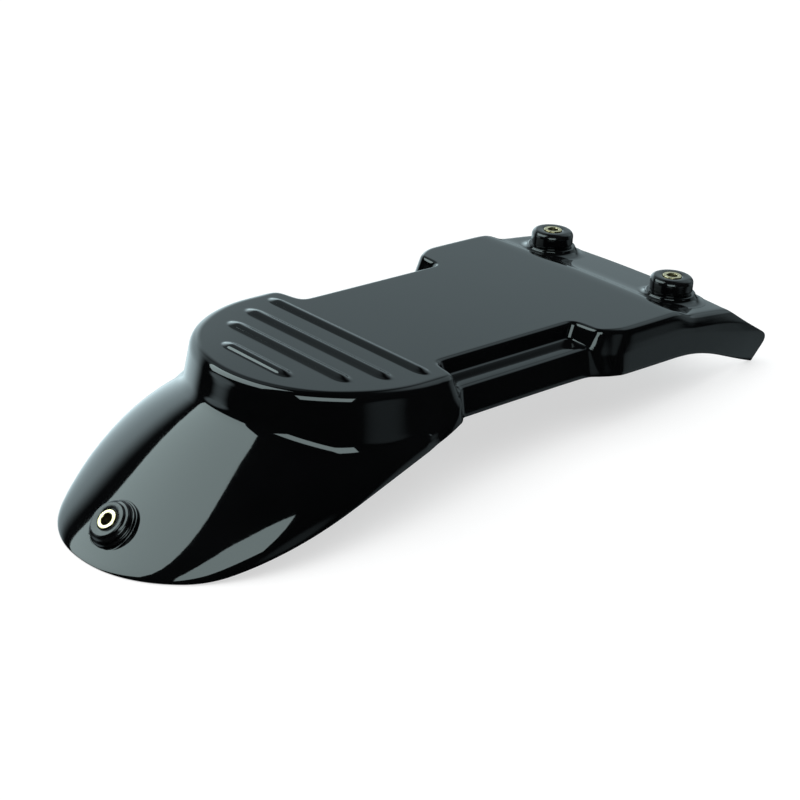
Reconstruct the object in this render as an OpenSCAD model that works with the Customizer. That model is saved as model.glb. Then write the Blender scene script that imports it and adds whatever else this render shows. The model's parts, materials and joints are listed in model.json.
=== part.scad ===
// Rear fender for a motorcycle: one thin gloss moulding with a round-fronted
// platform, a flat deck with a long step on each side, a drooping nose and two
// side wings, held on three rubber-damped metal sleeves.
// Axes: +X from the nose to the rear, +Y across, +Z up. The part rests on the
// nose edge and the two wing tips; the origin is the middle of its footprint.
// The sections are laid out square to the deck, and place() then tips the
// deck to the angle it has when the part rests.

/* [Deck and platform] */
// Half width of the round platform over the ears
plat_w = 76; // [75:0.5:78]
// Length of the round platform front
plat_l = 78.8; // [76:0.2:81]
// Height of the four raised ribs
rib_h = 1.8; // [0.8:0.1:2.4]
// Half width of one rib
rib_w = 4.6; // [3.5:0.1:5.5]

/* [Nose] */
// Half width of the nose
nose_w = 82.7; // [82:0.1:84]
// Length of the nose ahead of its widest point
nose_l = 111.6; // [108:0.4:116]
// Height of the nose crest line where the platform ends
crest_h = -14.7; // [-16:0.1:-13.5]
// Slope of the nose crest line where the platform ends
crest_slope = 0.435; // [0.41:0.005:0.46]
// Roundness of the nose shoulder
shoulder = 2; // [1.9:0.02:2.2]

/* [Moulding] */
// Wall thickness
wall = 2.6; // [2:0.1:3]
// Angle of the deck to the ground at rest
tilt = 4.81; // [4.5:0.01:5]
// Height of the deck plane over the ground below rib 1
deck_h = 70; // [69:0.5:71]

/* [Mounting sleeves] */
// Bore of the three sleeves
bore_d = 6.5; // [6.2:0.1:6.8]
// Outside diameter of the sleeves
sleeve_d = 9; // [8.6:0.2:9.4]
// Diameter of the collar on a sleeve's visible end
collar_d = 11.2; // [10.6:0.2:12]
// Diameter of the hole in the moulding for each rubber grommet
hole_d = 19; // [18:0.5:20]
// Diameter of the grommet lips
lip_d = 28; // [26.5:0.5:29]
// Distance between the two rear sleeves
rear_pitch = 98; // [96:0.5:100]

/* [Hidden] */
$fn = 64;

// Ribs: [place along the deck, half length]
RIBS = [[0, 66], [-21, 60], [-41, 50.5], [-62, 28.5]];

// ---- small helpers
function lerp(a, b, t) = a + (b - a) * t;
function unit(v) = v / max(1e-9, norm(v));
function bez(a, c, b, t) = (1 - t) * (1 - t) * a + 2 * t * (1 - t) * c + t * t * b;
function softmin(a, b, k) = let(h = max(k - abs(a - b), 0) / k) min(a, b) - h * h * k / 4;

// ---- nose: outline, lower edge and crowned top
nx = -60;
// height of the lower edge of the moulding along the nose
function low(x) = -softmin(70.25 - 0.0841 * x, 57 - 0.37 * (x + 71), 3);
// plan radius, 1 on the outline
pe = 2.12;
function rad(x, y) = let(w = nose_w - max(0, x) * 0.08)
    pow(pow(abs(y) / w, pe) + pow(max(0, nx - x) / nose_l, pe), 1 / pe);
function crest(x) = let(v = x + 90) softmin(crest_h + crest_slope * v - 0.0043 * v * v, -5, 14);
function dome(x, y) = let(u = min(1, rad(x, y)), m = shoulder + max(0, x + 60) / 20)
    low(x) + (crest(x) - 0.0008 * y * y - low(x)) * pow(max(0, 1 - pow(u, 1.35)), 1 / m);

// ---- stations
// A station is [ax, E, B, L, T, top, a1, a2, re, rb, rl]: where it meets the
// middle line, the deck edge E, the foot of the wall B, the outer lip L, the
// lower edge T, the height of the top, the plan angles of the wall and of the
// lower wall, and the blend lengths at E, B and L.
function plat_y(x) = plat_w * sqrt(max(0, 1 - pow(max(0, -8 - x) / plat_l, 2)));
px = -8 - plat_l;
PX = [0, 0.15, 0.6, 1.4, 2.8, 5, 8, 12, 17.5, 19.9, 22.2, 24.6, 27, 33, 39.2, 41.7, 44.1, 46.5,
      49, 54.5, 60.2, 62.6, 65, 67.4, 69.8, 76];
function nose_station(d) = let(x = px + d, y = plat_y(x),
        th = asin(min(1, y / plat_w)),
        ph = th < 60 ? 90 * sin(1.5 * th) : 90,
        tx = th < 60 ? nx - nose_l * pow(cos(ph), 2 / pe) : nx + (th - 60) / 30 * 50,
        ty = th < 60 ? nose_w * pow(sin(ph), 2 / pe) : nose_w,
        n = unit([tx - x, ty - y]), b = min(4, norm([tx - x, ty - y]) * 0.72),
        B = [x, y] + n * b, T = [tx, ty, low(tx)], a = atan2(n[1], n[0]))
    [x, [x, y, 0], [B[0], B[1], dome(B[0], B[1])], undef, T, 0, a, a, 5.5, 4, 0];
// ear, step, end of the step and deck side
MID = [
 [-4.6, [-3, 76.2], [-2, 79.7, -25], [-3, 81, -28.5], [-4, 81.7, -32.6], 0, 86, 86, 5.5, 5, 2],
 [-2.3, [0, 76.1], [1, 79.6, -24], [0.5, 80.9, -28], [0, 81.5, -31.3], 0, 84, 84, 5.4, 5, 2],
 [0.2, [3, 76], [4, 79.4, -22], [4, 80.8, -26], [4, 81.3, -29.8], 0, 80, 80, 5.2, 5, 2],
 [2.4, [5.8, 75.6], [7.4, 79, -19], [7.6, 80.5, -23.5], [7.8, 81, -28.3], 0, 72, 74, 4.8, 5, 2],
 [4.7, [8.4, 74.6], [10.5, 78.1, -15.5], [11, 79.7, -20], [11.6, 80.4, -26.9], 0, 60, 63, 4.2, 4, 2],
 [7.2, [10.4, 73], [13, 76.3, -12.5], [13.9, 78, -16.5], [14.8, 79, -26.6], 0, 45, 54, 3.6, 3, 2],
 [9.2, [11.8, 70.6], [14.6, 73.2, -10], [15.9, 75.4, -13], [17.2, 77, -26.6], 0, 30, 50, 3.2, 2.2, 2],
 [10.8, [12.7, 67], [15.8, 68.9, -9.2], [17.3, 73.4, -11], [18.5, 75.8, -26.6], 0, 23, 65, 3, 2, 2],
 [12.4, [13.4, 62.8], [16.7, 64.3, -9], [18.5, 72.5, -10], [19.5, 75.2, -26.6], 0, 22, 80, 3, 2, 2.4],
 [14, [14.4, 59.1], [17.8, 60.7, -9], [19.8, 72.1, -10], [20.7, 75, -26.6], 0, 26, 90, 3, 2, 2.4],
 [16, [16.2, 56.4], [19.2, 58.4, -9], [21.3, 72, -10], [22, 75, -26.6], 0, 42, 90, 3, 2, 2.4],
 [19, [19.4, 55.2], [21, 57.1, -9], [22.9, 72, -10], [23.4, 75, -26.6], 0, 68, 90, 2.6, 2, 2.4],
 [25, [25, 55], [25, 56.8, -9], [25.5, 72, -10], [25.5, 75, -26.6], 0, 90, 90, 2.4, 2, 2.4],
 [50, [50, 55], [50, 56.8, -9], [50, 72, -10], [50, 75, -26.4], 0, 90, 90, 2.4, 2, 2.4],
 [85, [85, 55], [85, 56.8, -9], [85, 71.8, -10], [85, 74.8, -26.4], 0, 90, 90, 2.4, 2, 2.4],
 [112, [112, 55], [112, 56.8, -9], [112, 71.6, -10], [112, 74.7, -26.6], 0, 90, 90, 2.4, 2, 2.4],
 [116.5, [117.4, 55.2], [115, 57, -9], [114, 71.6, -10], [115, 74.8, -26.7], 0, 112, 90, 2.4, 2, 2.4],
 [119.2, [120.4, 56.6], [116.6, 58.4, -9], [115.8, 71.6, -10], [117.5, 75.1, -26.8], 0, 140, 90, 2.2, 1.8, 2.4],
 [120.6, [121.9, 60], [117.5, 61, -9], [116.9, 71.7, -10], [119.5, 75.7, -26.9], 0, 168, 92, 2.2, 1.8, 2.4],
 [121.4, [122.4, 65], [117.9, 65.5, -9], [117.7, 71.9, -10], [121.5, 76.6, -27], 0, 176, 100, 2.2, 1.8, 2.2],
 [122.2, [122.9, 70.4], [118.6, 70.8, -9.2], [118.7, 72.5, -10.6], [123.5, 77.6, -27.1], 0, 160, 108, 2.2, 1.2, 1.6],
 [123.4, [124.2, 73.6], [121.8, 75.4, -10], [121.6, 76, -13.5], [125.8, 78.6, -27.2], 0, 125, 110, 2.4, 1, 1],
 [127, [127.4, 76.2], [126.6, 78.2, -10], [126.2, 78.6, -14], [129.4, 80.2, -27.3], 0, 118, 108, 2.6, 1, 1],
 [132, [132.2, 79], [131.5, 80.8, -10], [131.2, 81.2, -14], [133.6, 81.6, -27.4], 0, 112, 102, 3, 1, 1],
 [137.5, [137.5, 80.9], [137.2, 82, -10], [137, 82.3, -14], [138, 82.6, -27.5], 0, 96, 94, 3.4, 1, 1],
 [144, [144, 81.4], [144, 82.3, -10], [144, 82.6, -14], [144, 82.8, -27.5], 0, 90, 90, 3.6, 1, 1],
 [165, [165, 81.5], [165, 82.4, -10], [165, 82.6, -14], [165, 82.8, -27.6], 0, 90, 90, 3.8, 1, 1]];
// end of the deck, rear flange and wings
REAR = [
 [182, [180, 81.4], [181, 82.4, -10], [183, 82.6, -14], [185, 82.8, -27.6], 0, 90, 90, 4, 1, 1],
 [186, [183.5, 81.3], [184.5, 82.4, -10], [186.5, 82.6, -14], [189, 82.8, -27.8], -0.15, 90, 90, 4.2, 1, 1],
 [189, [186.5, 81.1], [187.7, 82.4, -10.3], [190, 82.6, -14.3], [193, 82.8, -28], -0.65, 90, 90, 4.4, 1, 1],
 [191.6, [189, 80.9], [190.4, 82.4, -10.6], [193, 82.6, -14.6], [196, 82.8, -28.3], -1.5, 90, 90, 4.6, 1, 1],
 [194.2, [191.8, 80.8], [193.4, 82.4, -11], [196.4, 82.6, -15], [199.2, 82.8, -28.7], -2.7, 90, 90, 4.8, 1, 1],
 [197.6, [195.4, 80.7], [197.4, 82.4, -11.6], [200.8, 82.7, -15.8], [203.4, 82.8, -29.4], -4.2, 90, 90, 5, 1, 1],
 [204.4, [203, 80.8], [205.5, 82.5, -12.4], [209.5, 82.8, -17.4], [211.5, 82.7, -31.2], -5.5, 90, 90, 5, 1, 1],
 [213, [211.5, 80.8], [215, 82.5, -13.2], [221, 82.9, -20], [221.5, 82.5, -34.2], -6.4, 90, 90, 5, 1.4, 1.4],
 [221, [219.5, 80.6], [225, 82.4, -14.2], [234, 83, -23.2], [232.5, 82, -38.2], -7.2, 90, 90, 5, 2, 2],
 [229, [226.5, 80.2], [235, 82.4, -16], [248.8, 83, -26.6], [245, 81.2, -42.8], -8, 90, 90, 5, 3, 3],
 [234, [230, 79.8], [242.5, 82.3, -17.6], [260, 82.8, -29.2], [254, 80.5, -46], -8.5, 90, 90, 5, 4, 5],
 [236.5, [231.5, 79.5], [247.5, 82.2, -19], [270.8, 82.6, -32.2], [260.8, 79.9, -48.25], -8.8, 90, 90, 5, 5, 7]];

STA = concat([for (d = PX) nose_station(d)], MID, REAR);
NR = len(STA);

// ---- columns
FLAT = [0, 0.2, 0.38, 0.47, 0.6, 0.69, 0.77, 0.85, 0.93];
NF = len(FLAT);
DOME = [0.25, 0.5, 0.68, 0.8, 0.88, 0.94, 0.98, 1];
NC = NF + 4 + 4 + 8;

function rib(x, y) = let(v = [for (r = RIBS)
        let(q = norm([(x - r[0]) / rib_w, max(0, abs(y) - (r[1] - 9)) / 9]))
        q < 1 ? rib_h * pow(cos(90 * q), 1.3) : 0]) max(v);
function E3(s) = [s[1][0], s[1][1], s[5]];
function start(s) = E3(s) - [cos(s[6]), sin(s[6]), 0] * s[8];
// top of one station at fraction f of the way to the start of the edge blend
function flat_pt(s, f, e) = let(x = s[3] == undef ? e[0] : lerp(s[0], e[0], f * f), y = e[1] * f)
    [x, y, s[5] + rib(x, y)];
// one column of a station
function col(s, j) = let(E = E3(s), B = s[2], T = s[4],
        e0 = start(s), w = unit(B - E), e1 = E + w * s[8], b0 = B - w * s[9])
    j < NF ? flat_pt(s, FLAT[j], e0)
    : j < NF + 4 ? bez(e0, E, e1, (j - NF) / 3)
    : s[3] == undef
        ? (let(q = min(s[9], norm([T[0] - B[0], T[1] - B[1]]) * 0.2),
               g = unit([T[0] - B[0], T[1] - B[1]]),
               b1p = [B[0] + g[0] * q, B[1] + g[1] * q], b1 = [b1p[0], b1p[1], dome(b1p[0], b1p[1])])
           j < NF + 8 ? bez(b0, B, b1, (j - NF - 4) / 3)
           : let(v = DOME[j - NF - 8], p = lerp(b1, T, v)) v == 1 ? T : [p[0], p[1], dome(p[0], p[1])])
        : (let(L = s[3], m = unit(L - B), n = unit(T - L),
               b1 = B + m * s[9], l0 = L - m * s[10], l1 = L + n * s[10])
           j < NF + 8 ? bez(b0, B, b1, (j - NF - 4) / 3)
           : j < NF + 10 ? lerp(b1, l0, (j - NF - 7) / 3)
           : j < NF + 13 ? bez(l0, L, l1, (j - NF - 10) / 2)
           : lerp(l1, T, (j - NF - 12) / 3));
// column of the inner face
function inner(s, j) = let(c = col(s, j), h1 = [cos(s[6]), sin(s[6]), 0] * wall,
        h2 = [cos(s[7]), sin(s[7]), 0] * wall)
    j < NF ? let(p = flat_pt(s, FLAT[j], start(s) - h1)) [p[0], p[1], s[5] - wall]
    : j < NF + 8 ? c - h1 - [0, 0, wall]
    : let(g = min(1, (NC - 1 - j) / 4)) c - lerp(h1, h2, min(1, (j - NF - 7) / 3))
        - [0, 0, min(wall * g, (c[2] - s[4][2]) * 0.9) + (1 - g) * h1[0] * tan(tilt)];

// from deck square to resting
cx = 43.3;
function place(p) = [p[0] * cos(tilt) + p[2] * sin(tilt) - cx, p[1], -p[0] * sin(tilt) + p[2] * cos(tilt) + deck_h];

function side(p, s) = [p[0], p[1] * s, p[2]];

// ---- the moulding as one closed skin: outer face, inner face and rim
IC = [0, 8, 10, 12, 14, 16, 18, 20, 22, 24];
NI = len(IC);
OUT = [for (s = STA) [for (j = [0:NC - 1]) place(col(s, j))]];
INN = [for (s = STA) [for (j = IC) place(inner(s, j))]];
// number of points of a face, and of its first station where k columns meet
function count(n, k) = n - k + (NR - 1) * (2 * n - 1);
function id(i, s, j, n, k) = i == 0 ? max(0, j - k)
    : n - k + (i - 1) * (2 * n - 1) + (j == 0 ? 0 : s > 0 ? j : n - 1 + j);
function points(G, n, k) = concat([for (j = [k:n - 1]) G[0][j]],
    [for (i = [1:NR - 1]) each concat([G[i][0]], [for (j = [1:n - 1]) G[i][j]],
        [for (j = [1:n - 1]) side(G[i][j], -1)])]);
function tri(a, b, c, f) = a == b || b == c || a == c ? [] : [f > 0 ? [a, b, c] : [a, c, b]];
function grid(n, k, o, f) = [for (s = [1, -1], i = [0:NR - 2], j = [0:n - 2])
    let(a = o + id(i, s, j, n, k), b = o + id(i, s, j + 1, n, k),
        c = o + id(i + 1, s, j + 1, n, k), d = o + id(i + 1, s, j, n, k))
    each concat(tri(a, b, c, s * f), tri(a, c, d, s * f))];
KO = NF;
KI = 1;
O2 = count(NC, KO);
function kseg(j) = len([for (c = IC) if (c <= j) c]) - 1;
function oid(i, s, j) = id(i, s, j, NC, KO);
function iid(i, s, j) = O2 + id(i, s, j, NI, KI);
SKIN_P = concat(points(OUT, NC, KO), points(INN, NI, KI));
SKIN_F = concat(grid(NC, KO, 0, 1), grid(NI, KI, O2, -1),
    [for (s = [1, -1], i = [0:NR - 2]) let(b = oid(i, s, NC - 1), c = oid(i + 1, s, NC - 1),
        b2 = iid(i, s, NI - 1), c2 = iid(i + 1, s, NI - 1))
        each concat(tri(c, b, b2, s), tri(c, b2, c2, s))],
    [for (s = [1, -1], j = [0:NC - 2]) each tri(oid(NR - 1, s, j), oid(NR - 1, s, j + 1), iid(NR - 1, s, kseg(j)), s)],
    [for (s = [1, -1], k = [0:NI - 2]) each tri(iid(NR - 1, s, k + 1), iid(NR - 1, s, k), oid(NR - 1, s, IC[k + 1]), s)]);

// ---- mounting places
rear_x = 213.5;
seat_z = -2.5;
face_h = 9.8;
flange_z = -6.4;
flange_a = 5.6;
nose_x = -152.3;
nose_h = 6.2;
nose_a = 38;
nose_at = [nose_x, 0, dome(nose_x, 0) + 1.2];
module at_nose() { translate(place(nose_at)) rotate([0, -nose_a, 0]) children(); }
module at_rear(s, z = seat_z, a = 0) {
    translate(place([rear_x, s * rear_pitch / 2, z])) rotate([0, tilt + a, 0]) children();
}

// raised seat round a rear grommet: a skirt square to the flange, a seat square to the deck
module boss(s) {
    difference() {
        at_rear(s, flange_z, flange_a) rotate_extrude() polygon([[0, -1.8], [21.4, -1.8], [21.4, -0.1],
            [19.6, 0.1], [17.9, 0.6], [16.5, 1.4], [15.5, 2.4], [15, 3.6], [0, 3.6]]);
        at_rear(s) translate([0, 0, -0.03]) cylinder(r = 17, h = 8);
    }
    at_rear(s) rotate_extrude() polygon([[0, -4.6], [15, -4.6], [15, -0.6], [14.7, -0.15],
        [14.3, 0], [0, 0]]);
}
// raised seat round the nose grommet: a skirt square to the crown, a seat square to the bolt
module nose_boss() {
    difference() {
        translate(place([nose_x, 0, dome(nose_x, 0)])) rotate([0, -33, 0]) rotate_extrude()
            polygon([[0, -2.4], [15.9, -2.4], [15.9, -0.9], [15.4, -0.2], [15, 0.5], [14.8, 1], [0, 1]]);
        at_nose() translate([0, 0, -0.03]) cylinder(r = 17, h = 8);
    }
    at_nose() rotate_extrude() polygon([[0, -3.2], [14.7, -3.2], [14.7, -0.5], [14.5, -0.15],
        [14.2, 0], [0, 0]]);
}
module boss_bore(s) {
    at_rear(s) {
        translate([0, 0, -30]) cylinder(r = lip_d / 2 - 0.8, h = 30 - wall);
        translate([0, 0, -5]) cylinder(d = hole_d, h = 10);
    }
}
module fender_shell() {
    color([0.015, 0.015, 0.018]) difference() {
        union() {
            polyhedron(SKIN_P, SKIN_F, convexity = 10);
            for (s = [-1, 1]) boss(s);
            nose_boss();
        }
        for (s = [-1, 1]) boss_bore(s);
        at_nose() translate([0, 0, -8]) cylinder(d = hole_d, h = 16);
        at_nose() translate([0, 0, 0.02]) cylinder(r = 14.25, h = 6);
        at_nose() translate([0, 0, -12 - wall]) cylinder(r = lip_d / 2 - 0.6, h = 12);
    }
}

// rubber grommet: z 0 is the visible side of the moulding
module grommet(h) {
    r = lip_d / 2;
    foot = h < 8 ? 0.3 : 1.7;
    color([0.03, 0.03, 0.032]) rotate_extrude() polygon([[sleeve_d / 2, -wall - 3], [r - 3, -wall - 3],
        [r - 1.6, -wall - 2.4], [r - 1, -wall - 1.4], [r - 1, -wall], [hole_d / 2, -wall],
        [hole_d / 2, 0], [r - foot, 0], [r - foot + 0.3, 0.4], [r - foot + 0.3, 1], [r - 1.2, 1.6],
        [r - 1, 2.5], [r - 1, h - 2.9], [r - 1.4, h - 1.6], [r - 2.4, h - 0.7], [r - 4, h - 0.35],
        [collar_d / 2, h - 0.6], [collar_d / 2, h - 1.4], [sleeve_d / 2, h - 1.4]]);
}
// metal sleeve with a collar at its visible end
module sleeve(h) {
    color([0.78, 0.72, 0.55]) difference() {
        union() {
            translate([0, 0, -wall - 3.2]) cylinder(d = sleeve_d, h = h + wall + 3.2 - 0.3);
            translate([0, 0, h - 1.4]) cylinder(d = collar_d, h = 1.4);
        }
        translate([0, 0, -20]) cylinder(d = bore_d, h = 40);
    }
}
module nose_grommet() { at_nose() grommet(nose_h); }
module nose_sleeve() { at_nose() sleeve(nose_h); }
module rear_left_grommet() { at_rear(1) grommet(face_h); }
module rear_right_grommet() { at_rear(-1) grommet(face_h); }
module rear_left_sleeve() { at_rear(1) sleeve(face_h); }
module rear_right_sleeve() { at_rear(-1) sleeve(face_h); }

fender_shell();
nose_grommet();
rear_left_grommet();
rear_right_grommet();
nose_sleeve();
rear_left_sleeve();
rear_right_sleeve();
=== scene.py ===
import json
import math

import bmesh
import bpy
import numpy as np
from mathutils import Matrix, Vector

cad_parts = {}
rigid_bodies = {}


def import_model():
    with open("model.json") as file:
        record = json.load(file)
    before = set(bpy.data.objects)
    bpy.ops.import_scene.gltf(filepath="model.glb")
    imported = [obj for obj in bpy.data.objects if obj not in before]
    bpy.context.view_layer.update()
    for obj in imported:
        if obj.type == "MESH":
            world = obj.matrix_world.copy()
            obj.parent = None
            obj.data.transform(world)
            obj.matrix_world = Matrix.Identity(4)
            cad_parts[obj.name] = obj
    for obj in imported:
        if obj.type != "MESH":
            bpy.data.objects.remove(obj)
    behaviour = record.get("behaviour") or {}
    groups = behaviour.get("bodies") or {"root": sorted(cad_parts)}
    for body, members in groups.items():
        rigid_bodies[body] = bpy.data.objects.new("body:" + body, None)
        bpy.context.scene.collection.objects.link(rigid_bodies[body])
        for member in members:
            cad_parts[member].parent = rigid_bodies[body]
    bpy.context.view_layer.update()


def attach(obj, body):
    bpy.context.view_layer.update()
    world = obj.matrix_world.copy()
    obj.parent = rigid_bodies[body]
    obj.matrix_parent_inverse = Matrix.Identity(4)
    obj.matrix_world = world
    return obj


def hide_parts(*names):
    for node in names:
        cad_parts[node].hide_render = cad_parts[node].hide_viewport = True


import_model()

# ------------------------------------------------------------------ sizes, mm
TILT = math.radians(4.81)
CX, DECK, WALL = 43.3, 70.0, 2.6
NX, NOSE_W, NOSE_L, PE = -60.0, 82.7, 111.6, 2.12
PLAT_W, PLAT_L = 76.0, 78.8
RIB_H, RIB_W = 1.8, 4.6
RIBS = [(0, 66), (-21, 60), (-41, 50.5), (-62, 28.5)]
HOLE_R, LIP_R, SLEEVE_R, COLLAR_R, BORE_R = 9.5, 14.0, 4.5, 5.6, 3.25
REAR_X, REAR_Y, SEAT_Z, FLANGE_Z, FLANGE_A, FACE_H = 213.5, 49.0, -2.5, -6.4, 5.6, 9.8
NOSE_X, NOSE_H, NOSE_A = -152.3, 6.2, 38.0

MID = [
    [-4.6, [-3, 76.2], [-2, 79.7, -25], [-3, 81, -28.5], [-4, 81.7, -32.6], 0, 86, 86, 5.5, 5, 2],
    [-2.3, [0, 76.1], [1, 79.6, -24], [0.5, 80.9, -28], [0, 81.5, -31.3], 0, 84, 84, 5.4, 5, 2],
    [0.2, [3, 76], [4, 79.4, -22], [4, 80.8, -26], [4, 81.3, -29.8], 0, 80, 80, 5.2, 5, 2],
    [2.4, [5.8, 75.6], [7.4, 79, -19], [7.6, 80.5, -23.5], [7.8, 81, -28.3], 0, 72, 74, 4.8, 5, 2],
    [4.7, [8.4, 74.6], [10.5, 78.1, -15.5], [11, 79.7, -20], [11.6, 80.4, -26.9], 0, 60, 63, 4.2, 4, 2],
    [7.2, [10.4, 73], [13, 76.3, -12.5], [13.9, 78, -16.5], [14.8, 79, -26.6], 0, 45, 54, 3.6, 3, 2],
    [9.2, [11.8, 70.6], [14.6, 73.2, -10], [15.9, 75.4, -13], [17.2, 77, -26.6], 0, 30, 50, 3.2, 2.2, 2],
    [10.8, [12.7, 67], [15.8, 68.9, -9.2], [17.3, 73.4, -11], [18.5, 75.8, -26.6], 0, 23, 65, 3, 2, 2],
    [12.4, [13.4, 62.8], [16.7, 64.3, -9], [18.5, 72.5, -10], [19.5, 75.2, -26.6], 0, 22, 80, 3, 2, 2.4],
    [14, [14.4, 59.1], [17.8, 60.7, -9], [19.8, 72.1, -10], [20.7, 75, -26.6], 0, 26, 90, 3, 2, 2.4],
    [16, [16.2, 56.4], [19.2, 58.4, -9], [21.3, 72, -10], [22, 75, -26.6], 0, 42, 90, 3, 2, 2.4],
    [19, [19.4, 55.2], [21, 57.1, -9], [22.9, 72, -10], [23.4, 75, -26.6], 0, 68, 90, 2.6, 2, 2.4],
    [25, [25, 55], [25, 56.8, -9], [25.5, 72, -10], [25.5, 75, -26.6], 0, 90, 90, 2.4, 2, 2.4],
    [50, [50, 55], [50, 56.8, -9], [50, 72, -10], [50, 75, -26.4], 0, 90, 90, 2.4, 2, 2.4],
    [85, [85, 55], [85, 56.8, -9], [85, 71.8, -10], [85, 74.8, -26.4], 0, 90, 90, 2.4, 2, 2.4],
    [112, [112, 55], [112, 56.8, -9], [112, 71.6, -10], [112, 74.7, -26.6], 0, 90, 90, 2.4, 2, 2.4],
    [116.5, [117.4, 55.2], [115, 57, -9], [114, 71.6, -10], [115, 74.8, -26.7], 0, 112, 90, 2.4, 2, 2.4],
    [119.2, [120.4, 56.6], [116.6, 58.4, -9], [115.8, 71.6, -10], [117.5, 75.1, -26.8], 0, 140, 90, 2.2, 1.8, 2.4],
    [120.6, [121.9, 60], [117.5, 61, -9], [116.9, 71.7, -10], [119.5, 75.7, -26.9], 0, 168, 92, 2.2, 1.8, 2.4],
    [121.4, [122.4, 65], [117.9, 65.5, -9], [117.7, 71.9, -10], [121.5, 76.6, -27], 0, 176, 100, 2.2, 1.8, 2.2],
    [122.2, [122.9, 70.4], [118.6, 70.8, -9.2], [118.7, 72.5, -10.6], [123.5, 77.6, -27.1], 0, 160, 108, 2.2, 1.2, 1.6],
    [123.4, [124.2, 73.6], [121.8, 75.4, -10], [121.6, 76, -13.5], [125.8, 78.6, -27.2], 0, 125, 110, 2.4, 1, 1],
    [127, [127.4, 76.2], [126.6, 78.2, -10], [126.2, 78.6, -14], [129.4, 80.2, -27.3], 0, 118, 108, 2.6, 1, 1],
    [132, [132.2, 79], [131.5, 80.8, -10], [131.2, 81.2, -14], [133.6, 81.6, -27.4], 0, 112, 102, 3, 1, 1],
    [137.5, [137.5, 80.9], [137.2, 82, -10], [137, 82.3, -14], [138, 82.6, -27.5], 0, 96, 94, 3.4, 1, 1],
    [144, [144, 81.4], [144, 82.3, -10], [144, 82.6, -14], [144, 82.8, -27.5], 0, 90, 90, 3.6, 1, 1],
    [165, [165, 81.5], [165, 82.4, -10], [165, 82.6, -14], [165, 82.8, -27.6], 0, 90, 90, 3.8, 1, 1],
]
REAR = [
    [182, [180, 81.4], [181, 82.4, -10], [183, 82.6, -14], [185, 82.8, -27.6], 0, 90, 90, 4, 1, 1],
    [186, [183.5, 81.3], [184.5, 82.4, -10], [186.5, 82.6, -14], [189, 82.8, -27.8], -0.15, 90, 90, 4.2, 1, 1],
    [189, [186.5, 81.1], [187.7, 82.4, -10.3], [190, 82.6, -14.3], [193, 82.8, -28], -0.65, 90, 90, 4.4, 1, 1],
    [191.6, [189, 80.9], [190.4, 82.4, -10.6], [193, 82.6, -14.6], [196, 82.8, -28.3], -1.5, 90, 90, 4.6, 1, 1],
    [194.2, [191.8, 80.8], [193.4, 82.4, -11], [196.4, 82.6, -15], [199.2, 82.8, -28.7], -2.7, 90, 90, 4.8, 1, 1],
    [197.6, [195.4, 80.7], [197.4, 82.4, -11.6], [200.8, 82.7, -15.8], [203.4, 82.8, -29.4], -4.2, 90, 90, 5, 1, 1],
    [204.4, [203, 80.8], [205.5, 82.5, -12.4], [209.5, 82.8, -17.4], [211.5, 82.7, -31.2], -5.5, 90, 90, 5, 1, 1],
    [213, [211.5, 80.8], [215, 82.5, -13.2], [221, 82.9, -20], [221.5, 82.5, -34.2], -6.4, 90, 90, 5, 1.4, 1.4],
    [221, [219.5, 80.6], [225, 82.4, -14.2], [234, 83, -23.2], [232.5, 82, -38.2], -7.2, 90, 90, 5, 2, 2],
    [229, [226.5, 80.2], [235, 82.4, -16], [248.8, 83, -26.6], [245, 81.2, -42.8], -8, 90, 90, 5, 3, 3],
    [234, [230, 79.8], [242.5, 82.3, -17.6], [260, 82.8, -29.2], [254, 80.5, -46], -8.5, 90, 90, 5, 4, 5],
    [236.5, [231.5, 79.5], [247.5, 82.2, -19], [270.8, 82.6, -32.2], [260.8, 79.9, -48.25], -8.8, 90, 90, 5, 5, 7],
]


# ------------------------------------------------------- the shell's surfaces
def softmin(a, b, k):
    h = np.maximum(k - np.abs(a - b), 0) / k
    return np.minimum(a, b) - h * h * k / 4


def low(x):
    return -softmin(70.25 - 0.0841 * x, 57 - 0.37 * (x + 71), 3)


def rad(x, y):
    w = NOSE_W - np.maximum(0, x) * 0.08
    return (np.abs(y / w) ** PE + (np.maximum(0, NX - x) / NOSE_L) ** PE) ** (1 / PE)


def crest(x):
    v = x + 90
    return softmin(-14.7 + 0.435 * v - 0.0043 * v * v, -5.0, 14)


def dome(x, y):
    u = np.minimum(1, rad(x, y))
    m = 2 + np.maximum(0, x + 60) / 20
    return low(x) + (crest(x) - 0.0008 * y * y - low(x)) * np.maximum(0, 1 - u ** 1.35) ** (1 / m)


def rib(x, y):
    z = np.zeros_like(x)
    for rx, half in RIBS:
        q = np.hypot((x - rx) / RIB_W, np.maximum(0, np.abs(y) - (half - 9)) / 9)
        z = np.maximum(z, np.where(q < 1, RIB_H * np.cos(np.minimum(q, 1) * math.pi / 2) ** 1.3, 0))
    return z


def unit(v):
    return v / max(1e-9, float(np.linalg.norm(v)))


def bez(a, c, b, t):
    t = np.asarray(t)[:, None]
    return (1 - t) ** 2 * a + 2 * t * (1 - t) * c + t * t * b


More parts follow.
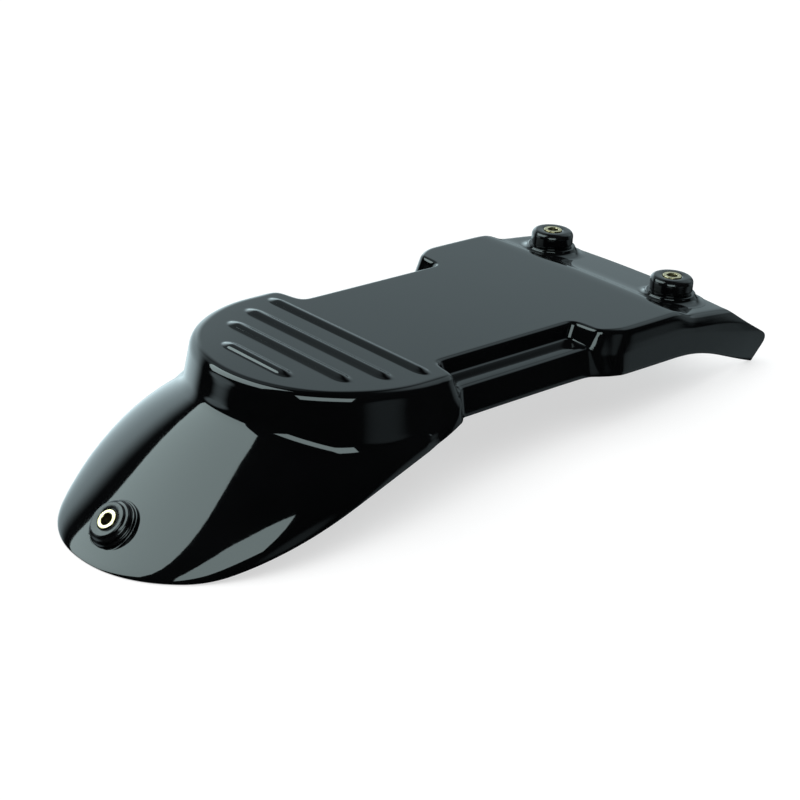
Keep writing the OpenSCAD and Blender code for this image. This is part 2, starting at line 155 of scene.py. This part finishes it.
def nose_station(deg):
    t = math.radians(deg)
    x, y = -8 - PLAT_L * math.cos(t), PLAT_W * math.sin(t)
    ph = math.radians(90 * math.sin(math.radians(1.5 * deg))) if deg < 60 else math.pi / 2
    tx = NX - NOSE_L * max(0, math.cos(ph)) ** (2 / PE) if deg < 60 else NX + (deg - 60) / 30 * 50
    ty = NOSE_W * math.sin(ph) ** (2 / PE) if deg < 60 else NOSE_W
    d = np.array([tx - x, ty - y])
    n = unit(d)
    b = min(4, float(np.linalg.norm(d)) * 0.72)
    bx, by = x + n[0] * b, y + n[1] * b
    a = math.degrees(math.atan2(n[1], n[0]))
    return [x, [x, y], [bx, by, float(dome(bx, by))], None, [tx, ty, float(low(tx))], 0, a, a, 5.5, 4, 0]


FLAT = np.linspace(0, 1, 61)[:-1]
TE = np.linspace(0, 1, 9)
TW = [0.25, 0.5, 0.75]
TB = np.linspace(0, 1, 9)
NLOW = 15
DOME = 1 - (1 - np.arange(1, NLOW + 1) / NLOW) ** 2
NF = len(FLAT)


def section(s, flat, te, tw, tb, low_nose, mid_wall, mid_lip, mid_low):
    """One cross-section: the outer skin's points from the middle line to the lower edge."""
    ax, E, B, L, T, top, a1, a2, re, rb, rl = s
    E = np.array([E[0], E[1], top], float)
    B, T = np.array(B, float), np.array(T, float)
    d1 = np.array([math.cos(math.radians(a1)), math.sin(math.radians(a1)), 0])
    e0 = E - d1 * re
    w = unit(B - E)
    e1, b0 = E + w * re, B - w * rb
    fx = np.full_like(flat, e0[0]) if L is None else ax + (e0[0] - ax) * flat * flat
    rows = [np.stack([fx, e0[1] * flat, np.full_like(flat, top)], 1), bez(e0, E, e1, te)]
    if len(tw):
        rows.append(e1 + (b0 - e1) * np.asarray(tw)[:, None])
    if L is None:
        g = T[:2] - B[:2]
        q = min(rb, float(np.linalg.norm(g)) * 0.2)
        b1 = B[:2] + unit(g) * q
        b1 = np.array([b1[0], b1[1], float(dome(b1[0], b1[1]))])
        rows.append(bez(b0, B, b1, tb))
        p = b1 + (T - b1) * np.asarray(low_nose)[:, None]
        p[:-1, 2] = dome(p[:-1, 0], p[:-1, 1])
        rows.append(p)
    else:
        L = np.array(L, float)
        m, n = unit(L - B), unit(T - L)
        b1, l0, l1 = B + m * rb, L - m * rl, L + n * rl
        rows.append(bez(b0, B, b1, tb))
        rows.append(b1 + (l0 - b1) * np.asarray(mid_wall)[:, None])
        rows.append(bez(l0, L, l1, mid_lip))
        rows.append(l1 + (T - l1) * np.asarray(mid_low)[:, None])
    return np.concatenate(rows)


def outer(s):
    return section(s, FLAT, TE, TW, TB, DOME, [0.25, 0.5, 0.75], np.linspace(0, 1, 7), [0.2, 0.4, 0.6, 0.8, 1.0])


IN_FLAT = np.array([0, 0.2, 0.4, 0.6, 0.8, 0.93])
IN_LOW = 8


def inner(s):
    c = section(s, IN_FLAT, [0, 0.33, 0.67, 1], [], [0, 0.33, 0.67, 1],
                1 - (1 - np.arange(1, IN_LOW + 1) / IN_LOW) ** 2, [0.33, 0.67], [0, 0.5, 1], [0.33, 0.67, 1.0])
    h1 = np.array([math.cos(math.radians(s[6])), math.sin(math.radians(s[6])), 0]) * WALL
    h2 = np.array([math.cos(math.radians(s[7])), math.sin(math.radians(s[7])), 0]) * WALL
    n, nf = len(c), len(IN_FLAT)
    ax, E, L, top, re = s[0], s[1], s[3], s[5], s[8]
    e0 = np.array([E[0], E[1]]) - h1[:2] / WALL * re - h1[:2]
    out = c.copy()
    fx = np.full(nf, e0[0]) if L is None else ax + (e0[0] - ax) * IN_FLAT * IN_FLAT
    out[:nf] = np.stack([fx, e0[1] * IN_FLAT, np.full(nf, top - WALL)], 1)
    for j in range(nf, n):
        k = min(1.0, max(0.0, (j - nf - 7) / 4))
        g = min(1.0, (n - 1 - j) / 4)
        h = h1 + (h2 - h1) * k
        out[j] = c[j] - h
        out[j, 2] -= min(WALL * g, (c[j, 2] - s[4][2]) * 0.9) + (1 - g) * h1[0] * math.tan(TILT)
    return out


def densify(rows, first_table, step):
    """Rows between the tabled stations, by a smooth cubic through the rows' points."""
    R = np.array(rows)
    n = len(R)
    chord = np.array([np.mean(np.linalg.norm(R[i + 1] - R[i], axis=1)) for i in range(n - 1)])
    t = np.concatenate([[0], np.cumsum(np.maximum(chord, 1e-6))])
    M = np.zeros_like(R)
    for i in range(n):
        if 0 < i < n - 1:
            a, b = (R[i] - R[i - 1]) / (t[i] - t[i - 1]), (R[i + 1] - R[i]) / (t[i + 1] - t[i])
            ha, hb = t[i] - t[i - 1], t[i + 1] - t[i]
            wa, wb = 2 * hb + ha, hb + 2 * ha
            ab = a * b
            safe = np.where(ab > 0, ab, 1.0)
            M[i] = np.where(ab > 0, (wa + wb) * safe / np.where(ab > 0, wa * b + wb * a, 1.0), 0.0)
        elif i == 0:
            M[i] = (R[1] - R[0]) / (t[1] - t[0])
        else:
            M[i] = (R[-1] - R[-2]) / (t[-1] - t[-2])
    out = []
    for i in range(n - 1):
        out.append(R[i])
        if i >= first_table - 1:
            k = step[i - first_table + 1]
            for q in range(1, k):
                u = q / k
                h = t[i + 1] - t[i]
                out.append((2 * u ** 3 - 3 * u * u + 1) * R[i] + (u ** 3 - 2 * u * u + u) * h * M[i]
                           + (-2 * u ** 3 + 3 * u * u) * R[i + 1] + (u ** 3 - u * u) * h * M[i + 1])
    out.append(R[-1])
    return np.array(out)


def soften(G, a, rounds):
    """Evens the rows after row a along the length."""
    for _ in range(rounds):
        H = G.copy()
        H[a:-1] = G[a:-1] * 0.5 + (G[a - 1:-2] + G[a + 1:]) * 0.25
        G = H
    return G


def rim(O, I, r):
    """Rounds the lower edge: cuts back both skins' last points and adds one point each on the rim."""
    T, Ti = O[:, -1].copy(), I[:, -1].copy()
    across = Ti - T
    across /= np.maximum(1e-9, np.linalg.norm(across, axis=1))[:, None]
    up = O[:, -2] - T
    up /= np.maximum(1e-9, np.linalg.norm(up, axis=1))[:, None]
    upi = I[:, -2] - Ti
    upi /= np.maximum(1e-9, np.linalg.norm(upi, axis=1))[:, None]
    O = O.copy()
    I = I.copy()
    O[:, -1] = T + up * r
    I[:, -1] = Ti + upi * r
    mid_o = T + (up + across) * r * 0.29
    mid_i = Ti + (upi - across) * r * 0.29
    O = np.concatenate([O, mid_o[:, None], (T + across * r)[:, None]], 1)
    I = np.concatenate([I, mid_i[:, None], (Ti - across * r)[:, None]], 1)
    return O, I


def place(P):
    P = np.asarray(P, float)
    x, y, z = P[..., 0], P[..., 1], P[..., 2]
    return np.stack([x * math.cos(TILT) + z * math.sin(TILT) - CX, y, -x * math.sin(TILT) + z * math.cos(TILT) + DECK], -1)


def shell_mesh():
    degs = list(np.arange(0, 88.2, 0.8))
    sta = [nose_station(float(d)) for d in degs] + MID + REAR
    n0 = len(degs)
    rows_o, rows_i = [outer(s) for s in sta], [inner(s) for s in sta]
    step = []
    for i in range(n0 - 1, len(sta) - 1):
        gap = max(float(np.max(np.linalg.norm(rows_o[i + 1] - rows_o[i], axis=1))), 0.1)
        mid = sta[i][0]
        fine = 5.0 if 24 < mid < 111 or 143 < mid < 180 else 0.9 if mid < 143 else 1.25
        step.append(max(1, int(math.ceil(gap / fine))))
    O, I = densify(rows_o, n0, step), densify(rows_i, n0, step)
    O, I = soften(O, n0, 3), soften(I, n0, 3)
    rear = n0 + sum(step[:len(MID) + 1])
    O, I = soften(O, rear, 9), soften(I, rear, 9)
    O[:, :NF, 2] += rib(O[:, :NF, 0], O[:, :NF, 1])
    O, I = rim(O, I, 0.55)
    O, I = place(O), place(I)
    nr, no, ni = len(O), O.shape[1], I.shape[1]
    verts, index = [], {}

    def vid(skin, i, s, j):
        G, k = (O, NF) if skin == "o" else (I, 1)
        if i == 0:
            j, s = max(j, k), 1
        if j == 0:
            s = 1
        key = (skin, i, s, j)
        if key not in index:
            p = G[i, j]
            index[key] = len(verts)
            verts.append((p[0] * 0.001, (0.0 if (i == 0 or j == 0) else p[1] * s) * 0.001, p[2] * 0.001))
        return index[key]

    faces = []

    def face(ids, flip):
        u = []
        for v in ids:
            if v not in u:
                u.append(v)
        if len(u) > 2:
            faces.append(u[::-1] if flip else u)

    for s in (1, -1):
        for skin, n in (("o", no), ("i", ni)):
            for i in range(nr - 1):
                for j in range(n - 1):
                    face([vid(skin, i, s, j), vid(skin, i, s, j + 1), vid(skin, i + 1, s, j + 1), vid(skin, i + 1, s, j)],
                         (s < 0) != (skin == "o"))
        for i in range(nr - 1):
            face([vid("o", i, s, no - 1), vid("i", i, s, ni - 1), vid("i", i + 1, s, ni - 1), vid("o", i + 1, s, no - 1)],
                 s > 0)
        a, b, r = 0, 0, nr - 1
        while a < no - 1 or b < ni - 1:
            da = np.linalg.norm(O[r, a + 1] - I[r, b]) if a < no - 1 else 1e9
            db = np.linalg.norm(O[r, a] - I[r, b + 1]) if b < ni - 1 else 1e9
            if da <= db:
                face([vid("o", r, s, a), vid("o", r, s, a + 1), vid("i", r, s, b)], s > 0)
                a += 1
            else:
                face([vid("o", r, s, a), vid("i", r, s, b + 1), vid("i", r, s, b)], s > 0)
                b += 1
    return verts, faces


def mesh_object(name, verts, faces):
    me = bpy.data.meshes.new(name)
    me.from_pydata([tuple(v) for v in verts], [], faces)
    me.validate()
    me.update()
    ob = bpy.data.objects.new(name, me)
    bpy.context.scene.collection.objects.link(ob)
    return ob


def frame_at(p, a_deg):
    """Matrix to a point in deck coordinates, turned a_deg about Y, metres."""
    q = place(np.array(p, float)) * 0.001
    return Matrix.Translation(Vector([float(v) for v in q])) @ Matrix.Rotation(math.radians(a_deg), 4, "Y")


def lathe(name, profile, mat, seg=128, closed=True):
    """Turned ring or plug. The profile is in mm, radius then height."""
    verts, faces, rings = [], [], []
    for r, z in profile:
        if r < 1e-6:
            rings.append([len(verts)])
            verts.append(mat @ Vector((0, 0, z * 0.001)))
        else:
            ring = []
            for k in range(seg):
                a = 2 * math.pi * k / seg
                ring.append(len(verts))
                verts.append(mat @ Vector((r * math.cos(a) * 0.001, r * math.sin(a) * 0.001, z * 0.001)))
            rings.append(ring)
    pairs = list(zip(rings, rings[1:])) + ([(rings[-1], rings[0])] if closed else [])
    for A, B in pairs:
        if len(A) == 1 and len(B) == 1:
            continue
        for k in range(seg):
            k2 = (k + 1) % seg
            if len(A) == 1:
                faces.append((A[0], B[k2], B[k]))
            elif len(B) == 1:
                faces.append((A[k], A[k2], B[0]))
            else:
                faces.append((A[k], A[k2], B[k2], B[k]))
    return mesh_object(name, verts, faces)


def loft(name, rings, sgn, seg=128):
    """Turned boss whose rings lean from the flange's slope to the seat's. A ring is radius, height, share of the way."""
    verts, starts = [], []
    for r, z, t in rings:
        mat = frame_at([REAR_X, sgn * REAR_Y, FLANGE_Z + (SEAT_Z - FLANGE_Z) * t], cad_tilt() + FLANGE_A * (1 - t))
        starts.append(len(verts))
        for k in range(1 if r < 1e-6 else seg):
            a = 2 * math.pi * k / seg
            verts.append(mat @ Vector((r * math.cos(a) * 0.001, r * math.sin(a) * 0.001, z * 0.001)))
    faces = []
    for i in range(len(rings) - 1):
        a, b = starts[i], starts[i + 1]
        for k in range(seg):
            k2 = (k + 1) % seg
            if rings[i][0] < 1e-6:
                faces.append((a, b + k2, b + k))
            elif rings[i + 1][0] < 1e-6:
                faces.append((a + k, a + k2, b))
            else:
                faces.append((a + k, a + k2, b + k2, b + k))
    return mesh_object(name, verts, faces)


def arc(cr, cz, r, a0, a1, n):
    return [(cr + r * math.cos(math.radians(a0 + (a1 - a0) * k / n)), cz + r * math.sin(math.radians(a0 + (a1 - a0) * k / n)))
            for k in range(n + 1)]


def boolean(ob, other, op):
    md = ob.modifiers.new("b", "BOOLEAN")
    md.operation, md.solver, md.object = op, "MANIFOLD", other
    dg = bpy.context.evaluated_depsgraph_get()
    me = bpy.data.meshes.new_from_object(ob.evaluated_get(dg))
    ob.modifiers.clear()
    old = ob.data
    ob.data = me
    bpy.data.meshes.remove(old)
    bpy.data.objects.remove(other)
    if len(me.polygons) == 0:
        raise RuntimeError("empty result: " + op)


def smooth(ob, deg):
    me = ob.data
    me.polygons.foreach_set("use_smooth", [True] * len(me.polygons))
    bm = bmesh.new()
    bm.from_mesh(me)
    for e in bm.edges:
        e.smooth = len(e.link_faces) == 2 and e.calc_face_angle(0) < math.radians(deg)
    bm.to_mesh(me)
    bm.free()


def cad_tilt():
    return math.degrees(TILT)


# ---------------------------------------------------------------- the shell
v, f = shell_mesh()
shell = mesh_object("fender_moulding", v, f)
bm = bmesh.new()
bm.from_mesh(shell.data)
bmesh.ops.recalc_face_normals(bm, faces=bm.faces)
OPEN_EDGES = sum(1 for e in bm.edges if len(e.link_faces) != 2)
bm.to_mesh(shell.data)
bm.free()
print("shell mesh", len(v), "points", len(f), "faces, open edges", OPEN_EDGES)

for sgn in (1, -1):
    at_s = frame_at([REAR_X, sgn * REAR_Y, SEAT_Z], cad_tilt())
    rings = [(0, -1.8, 0.0), (22, -1.8, 0.0), (22, -0.12, 0.0)]
    for q in np.linspace(6, 78, 18):
        c = math.radians(q)
        rings.append((15.1 + 6.6 * (1 - math.sin(c)), -0.06, (1 - math.cos(c)) * 0.98))
    rings += [(r, z, 1.0) for r, z in arc(14.0, -1.1, 1.1, 20, 90, 8)] + [(0, 0, 1.0)]
    boolean(shell, loft("boss", rings, sgn), "UNION")
    boolean(shell, lathe("bore", [(0, -30), (LIP_R - 0.8, -30), (LIP_R - 0.8, -WALL), (0, -WALL)], at_s, closed=False), "DIFFERENCE")
    boolean(shell, lathe("hole", [(0, -5), (HOLE_R, -5), (HOLE_R, 5), (0, 5)], at_s, closed=False), "DIFFERENCE")
nz = float(dome(NOSE_X, 0.0))
at_c = frame_at([NOSE_X, 0, nz], -33)
at_n = frame_at([NOSE_X, 0, nz + 1.2], -NOSE_A)
skirt = [(0, -2.4), (16.1, -2.4), (16.1, -1.1)] + [(14.8 + 1.3 * (1 - math.sin(math.radians(q))), 2.1 * (1 - math.cos(math.radians(q))) - 1.1)
                                                for q in np.linspace(8, 90, 10)] + [(0, 1.0)]
skirt_ob = lathe("skirt", skirt, at_c, closed=False)
boolean(skirt_ob, lathe("trim", [(0, -0.03), (18, -0.03), (18, 8), (0, 8)], at_n, closed=False), "DIFFERENCE")
boolean(shell, skirt_ob, "UNION")
seat = [(0, -3.2), (14.7, -3.2)] + arc(14.1, -0.6, 0.6, 0, 90, 6) + [(0, 0)]
boolean(shell, lathe("seat", seat, at_n, closed=False), "UNION")
boolean(shell, lathe("hole", [(0, -8), (HOLE_R, -8), (HOLE_R, 8), (0, 8)], at_n, closed=False), "DIFFERENCE")
boolean(shell, lathe("trim", [(0, 0.02), (14.25, 0.02), (14.25, 6), (0, 6)], at_n, closed=False), "DIFFERENCE")
boolean(shell, lathe("bore", [(0, -14.6), (LIP_R - 0.6, -14.6), (LIP_R - 0.6, -WALL), (0, -WALL)], at_n, closed=False), "DIFFERENCE")
smooth(shell, 32)
shell.name = "fender_moulding"
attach(shell, "root")
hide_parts("fender_shell")
print("shell after cuts", len(shell.data.vertices), len(shell.data.polygons))


# ------------------------------------------------------ grommets and sleeves
def grommet(name, node, mat, h):
    r = LIP_R
    prof = [(SLEEVE_R, -WALL - 3), (r - 3.4, -WALL - 3)] + arc(r - 2.6, -WALL - 1.6, 1.4, -90, 0, 6)[1:] + [
        (r - 1.2, -WALL - 0.2), (r - 1.4, -WALL), (HOLE_R, -WALL), (HOLE_R, 0)]
    if h < 8:
        prof += [(r - 0.9, 0)] + arc(r - 0.9, 0.6, 0.6, -90, 80, 8)[1:] + [(r - 1.3, 1.35), (r - 1.6, 1.6), (r - 1.7, 1.9)]
    else:
        prof += [(r - 1.6, 0), (r - 1.6, 0.5), (r - 1.45, 0.95), (r - 1.15, 1.3), (r - 1.02, 1.7)]
    sh = 3.4
    if h < 8:
        prof += [(r - 1.6, 2.3), (r - 1.6, 2.9)] + arc(r - 2.8, 3.0, 1.2, 6, 70, 8) + [(r - 3.4, 4.35), (r - 3.6, 4.6)]
        prof += arc(r - 4.6, 4.95, 1.0, 4, 84, 8) + [(r - 4.9, h - 0.26), (COLLAR_R + 1.2, h - 0.4)]
    else:
        prof += [(r - 1.0, 2.5), (r - 1.0, h - sh - 0.3)] + arc(r - 1.0 - sh, h - sh - 0.3, sh, 4, 82, 12)
        prof += [(r - 1.8 - sh, h - 0.24), (COLLAR_R + 1.2, h - 0.4)]
    prof += [(COLLAR_R + 0.35, h - 0.62), (COLLAR_R + 0.05, h - 0.95), (COLLAR_R, h - 1.4), (SLEEVE_R, h - 1.4)]
    ob = lathe(name, prof, mat)
    smooth(ob, 38)
    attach(ob, "root")
    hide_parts(node)
    return ob


def sleeve(name, node, mat, h):
    b, lo = BORE_R, -WALL - 3.2
    prof = [(b + 0.3, lo), (SLEEVE_R - 0.3, lo), (SLEEVE_R, lo + 0.3), (SLEEVE_R, h - 1.4), (COLLAR_R - 0.15, h - 1.4)]
    prof += arc(COLLAR_R - 0.3, h - 0.3, 0.3, 0, 90, 4)
    prof += [(b + 0.55, h)] + arc(b + 0.55, h - 0.55, 0.55, 90, 180, 5)[1:] + [(b, lo + 0.3)]
    ob = lathe(name, prof, mat)
    smooth(ob, 32)
    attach(ob, "root")
    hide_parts(node)
    return ob


at_l = frame_at([REAR_X, REAR_Y, SEAT_Z], cad_tilt())
at_r = frame_at([REAR_X, -REAR_Y, SEAT_Z], cad_tilt())
rubbers = [grommet("nose_rubber", "nose_grommet", at_n, NOSE_H),
           grommet("rear_left_rubber", "rear_left_grommet", at_l, FACE_H),
           grommet("rear_right_rubber", "rear_right_grommet", at_r, FACE_H)]
metals = [sleeve("nose_bush", "nose_sleeve", at_n, NOSE_H),
          sleeve("rear_left_bush", "rear_left_sleeve", at_l, FACE_H),
          sleeve("rear_right_bush", "rear_right_sleeve", at_r, FACE_H)]


# ---------------------------------------------------------------- materials
def new_material(name):
    m = bpy.data.materials.new(name)
    m.use_nodes = True
    nt = m.node_tree
    nt.nodes.clear()
    out = nt.nodes.new("ShaderNodeOutputMaterial")
    bs = nt.nodes.new("ShaderNodeBsdfPrincipled")
    nt.links.new(bs.outputs[0], out.inputs[0])
    return m, nt, bs


def noise(nt, scale, detail, coord, rough=0.5):
    n = nt.nodes.new("ShaderNodeTexNoise")
    n.inputs["Scale"].default_value = scale
    n.inputs["Detail"].default_value = detail
    n.inputs["Roughness"].default_value = rough
    nt.links.new(coord, n.inputs["Vector"])
    return n


def ramp(nt, fac, a, b, lo=0.3, hi=0.7):
    r = nt.nodes.new("ShaderNodeMapRange")
    r.inputs["From Min"].default_value, r.inputs["From Max"].default_value = lo, hi
    r.inputs["To Min"].default_value, r.inputs["To Max"].default_value = a, b
    nt.links.new(fac, r.inputs["Value"])
    return r.outputs[0]


def colours(nt, fac, a, b, lo=0.3, hi=0.7):
    c = nt.nodes.new("ShaderNodeValToRGB")
    c.color_ramp.elements[0].position, c.color_ramp.elements[0].color = lo, (*a, 1)
    c.color_ramp.elements[1].position, c.color_ramp.elements[1].color = hi, (*b, 1)
    nt.links.new(fac, c.inputs[0])
    return c.outputs[0]


def gloss_black():
    m, nt, bs = new_material("gloss_black_moulding")
    co = nt.nodes.new("ShaderNodeTexCoord").outputs["Object"]
    big = noise(nt, 22, 3, co)
    fine = noise(nt, 420, 2, co)
    haze = noise(nt, 90, 4, co, 0.6)
    nt.links.new(colours(nt, big.outputs[0], (0.0012, 0.0013, 0.0015), (0.0022, 0.0024, 0.0027)), bs.inputs["Base Color"])
    nt.links.new(ramp(nt, haze.outputs[0], 0.035, 0.06), bs.inputs["Roughness"])
    bs.inputs["IOR"].default_value = 1.5
    bump = nt.nodes.new("ShaderNodeBump")
    bump.inputs["Strength"].default_value = 0.02
    bump.inputs["Distance"].default_value = 0.0002
    nt.links.new(fine.outputs[0], bump.inputs["Height"])
    nt.links.new(bump.outputs[0], bs.inputs["Normal"])
    return m


def rubber():
    m, nt, bs = new_material("moulded_rubber")
    co = nt.nodes.new("ShaderNodeTexCoord").outputs["Object"]
    grain = noise(nt, 1500, 3, co)
    soft = noise(nt, 160, 3, co)
    nt.links.new(colours(nt, soft.outputs[0], (0.002, 0.002, 0.0022), (0.004, 0.004, 0.0044)), bs.inputs["Base Color"])
    nt.links.new(ramp(nt, soft.outputs[0], 0.11, 0.19), bs.inputs["Roughness"])
    bs.inputs["IOR"].default_value = 1.5
    bump = nt.nodes.new("ShaderNodeBump")
    bump.inputs["Strength"].default_value = 0.06
    bump.inputs["Distance"].default_value = 0.00004
    nt.links.new(grain.outputs[0], bump.inputs["Height"])
    nt.links.new(bump.outputs[0], bs.inputs["Normal"])
    return m


def turned_metal():
    m, nt, bs = new_material("turned_brass")
    co = nt.nodes.new("ShaderNodeTexCoord").outputs["Object"]
    stretch = nt.nodes.new("ShaderNodeMapping")
    stretch.inputs["Scale"].default_value = (1, 1, 6)
    nt.links.new(co, stretch.inputs[0])
    marks = noise(nt, 2200, 2, stretch.outputs[0])
    stain = noise(nt, 240, 3, co)
    nt.links.new(colours(nt, stain.outputs[0], (0.62, 0.5, 0.26), (0.86, 0.76, 0.5)), bs.inputs["Base Color"])
    nt.links.new(ramp(nt, marks.outputs[0], 0.14, 0.3), bs.inputs["Roughness"])
    bs.inputs["Metallic"].default_value = 1.0
    bump = nt.nodes.new("ShaderNodeBump")
    bump.inputs["Strength"].default_value = 0.1
    bump.inputs["Distance"].default_value = 0.00005
    nt.links.new(marks.outputs[0], bump.inputs["Height"])
    nt.links.new(bump.outputs[0], bs.inputs["Normal"])
    return m


def bore_shade_metal():
    # The darkened brass colour is painted shade inside the sleeves' bores; the mottled tone varies at random and the
    # roughness is higher.
    m, nt, bs = new_material("bore_painted_shade")
    co = nt.nodes.new("ShaderNodeTexCoord").outputs["Object"]
    stain = noise(nt, 900, 4, co)
    nt.links.new(colours(nt, stain.outputs[0], (0.1, 0.085, 0.045), (0.24, 0.2, 0.1)), bs.inputs["Base Color"])
    nt.links.new(ramp(nt, stain.outputs[0], 0.35, 0.6), bs.inputs["Roughness"])
    bs.inputs["Metallic"].default_value = 1.0
    return m


def dress(ob, mat):
    ob.data.materials.clear()
    ob.data.materials.append(mat)


def bore_painted_shade(ob, mat, at):
    """Gives the faces of the bore the darker material: painted shade inside the hole."""
    ob.data.materials.append(mat)
    inv = at.inverted()
    for p in ob.data.polygons:
        c = inv @ p.center
        if math.hypot(c.x, c.y) < (BORE_R + 0.08) * 0.001:
            p.material_index = 1


BLACK, RUBBER, BRASS = gloss_black(), rubber(), turned_metal()
dress(shell, BLACK)
for o in rubbers:
    dress(o, RUBBER)
# The bores get a darker brass: painted shade inside the holes.
BORE_SHADE = bore_shade_metal()
for o, at in zip(metals, (at_n, at_l, at_r)):
    dress(o, BRASS)
    bore_painted_shade(o, BORE_SHADE, at)


# ------------------------------------------------------------ floor and light
def floor():
    n, size = 48, 6.0
    verts, faces = [], []
    for i in range(n + 1):
        for j in range(n + 1):
            verts.append(((i / n - 0.5) * size, (j / n - 0.5) * size, -0.0003))
    for i in range(n):
        for j in range(n):
            a = i * (n + 1) + j
            faces.append((a, a + n + 1, a + n + 2, a + 1))
    ob = mesh_object("floor", verts, faces)
    m, nt, bs = new_material("studio_floor")
    co = nt.nodes.new("ShaderNodeTexCoord").outputs["Object"]
    n1 = noise(nt, 3, 2, co)
    nt.links.new(colours(nt, n1.outputs[0], (0.4, 0.4, 0.4), (0.42, 0.42, 0.42)), bs.inputs["Base Color"])
    bs.inputs["Roughness"].default_value = 0.9
    bs.inputs["Specular IOR Level"].default_value = 0.0
    bs.inputs["Emission Color"].default_value = (1, 1, 1, 1)
    bs.inputs["Emission Strength"].default_value = 0.62
    dress(ob, m)
    ob.visible_glossy = False
    return ob


floor()


def area(name, loc, target, sx, sy, power, colour=(1, 1, 1), diffuse=True):
    l = bpy.data.lights.new(name, "AREA")
    l.shape, l.size, l.size_y, l.energy, l.color = "RECTANGLE", sx, sy, power, colour
    o = bpy.data.objects.new(name, l)
    bpy.context.scene.collection.objects.link(o)
    o.location = loc
    o.rotation_mode = "QUATERNION"
    o.rotation_quaternion = (Vector(target) - Vector(loc)).to_track_quat("-Z", "Y")
    o.visible_camera = False
    o.visible_diffuse = diffuse
    return o


def softbox(name, centre, ax, ay, sx, sy, radiance):
    """A flat panel of even light, seen in the gloss. Its radiance is relative to a white surface's 1."""
    o = area(name, centre, (0, 0, 0), sx, sy, math.pi * sx * sy * radiance, (0.8, 0.995, 1.0))
    ax, ay = Vector(ax).normalized(), Vector(ay).normalized()
    az = ax.cross(ay)
    if az.dot(Vector(centre)) < 0:
        ay = -ay
        az = -az
    o.rotation_quaternion = Matrix((ax, ay, az)).transposed().to_quaternion()
    return o


softbox("softbox_left_back", (-0.526, 0.765, 1.183), (0.912, 0.007, 0.408), (-0.228, -0.821, 0.522), 1.0, 1.24, 4.2)
softbox("softbox_left_front", (-0.829, -0.924, 0.854), (0.717, -0.697, 0), (0.443, 0.456, 0.772), 1.0, 0.8, 4.0)
for o in bpy.data.objects:
    if o.type == "LIGHT":
        o.visible_diffuse = False
top = area("fill_top", (-0.15, 0.15, 2.6), (0, 0, 0), 4.6, 4.6, 128)
top.visible_glossy = False

world = bpy.data.worlds.new("studio")
bpy.context.scene.world = world
world.use_nodes = True
wn = world.node_tree
wn.nodes.clear()
wo = wn.nodes.new("ShaderNodeOutputWorld")
bg = wn.nodes.new("ShaderNodeBackground")
sky = wn.nodes.new("ShaderNodeTexCoord").outputs["Generated"]


def glow(az, el, value, edge, full):
    """A soft patch of the studio's walls: where it is, how bright, and the angles where it ends and is full."""
    a, e = math.radians(az), math.radians(el)
    d = wn.nodes.new("ShaderNodeVectorMath")
    d.operation = "DOT_PRODUCT"
    d.inputs[1].default_value = (math.cos(a) * math.cos(e), math.sin(a) * math.cos(e), math.sin(e))
    wn.links.new(sky, d.inputs[0])
    r = wn.nodes.new("ShaderNodeMapRange")
    r.interpolation_type = "SMOOTHSTEP"
    r.inputs["From Min"].default_value, r.inputs["From Max"].default_value = math.cos(math.radians(edge)), math.cos(math.radians(full))
    r.inputs["To Min"].default_value, r.inputs["To Max"].default_value = 0, value
    wn.links.new(d.outputs["Value"], r.inputs["Value"])
    return r.outputs[0]


total = None
for g in (glow(78, -2, 1.5, 36, 20), glow(41, 10, 0.6, 31, 10), glow(-38, -31, 0.3, 18, 9), glow(-12, 0, 0.36, 30, 16),
          glow(-88, -5, 0.22, 19, 3), glow(137, 8, 1.1, 17, 8), glow(72, 45, 0.3, 21, 8), glow(0, 36, 0.8, 28, 12)):
    if total is None:
        total = g
    else:
        m = wn.nodes.new("ShaderNodeMath")
        m.operation = "ADD"
        wn.links.new(total, m.inputs[0])
        wn.links.new(g, m.inputs[1])
        total = m.outputs[0]
base = wn.nodes.new("ShaderNodeMath")
base.operation = "ADD"
base.inputs[1].default_value = 0.01
wn.links.new(total, base.inputs[0])
bg.inputs[0].default_value = (0.78, 0.98, 1.04, 1)
wn.links.new(base.outputs[0], bg.inputs[1])
wn.links.new(bg.outputs[0], wo.inputs[0])
bpy.context.scene.view_settings.view_transform = "Standard"
bpy.context.scene.view_settings.look = "None"

# ----------------------------------------------------------------- camera
cam = bpy.data.objects.new("camera", bpy.data.cameras.new("camera"))
bpy.context.scene.collection.objects.link(cam)
fwd = Vector((0.59898, 0.66081, -0.45228))
right = Vector((0.74092, -0.67159, 0))
up = right.cross(fwd)
rot = Matrix((right, up, -fwd)).transposed()
cam.matrix_world = Matrix.Translation(Vector((-0.63597 - CX * 0.001, -0.74520, 0.52687))) @ rot.to_4x4()
cam.data.sensor_width = 36
cam.data.lens = 1987 / 800 * 36
cam.data.clip_start, cam.data.clip_end = 0.05, 50
bpy.context.scene.camera = cam
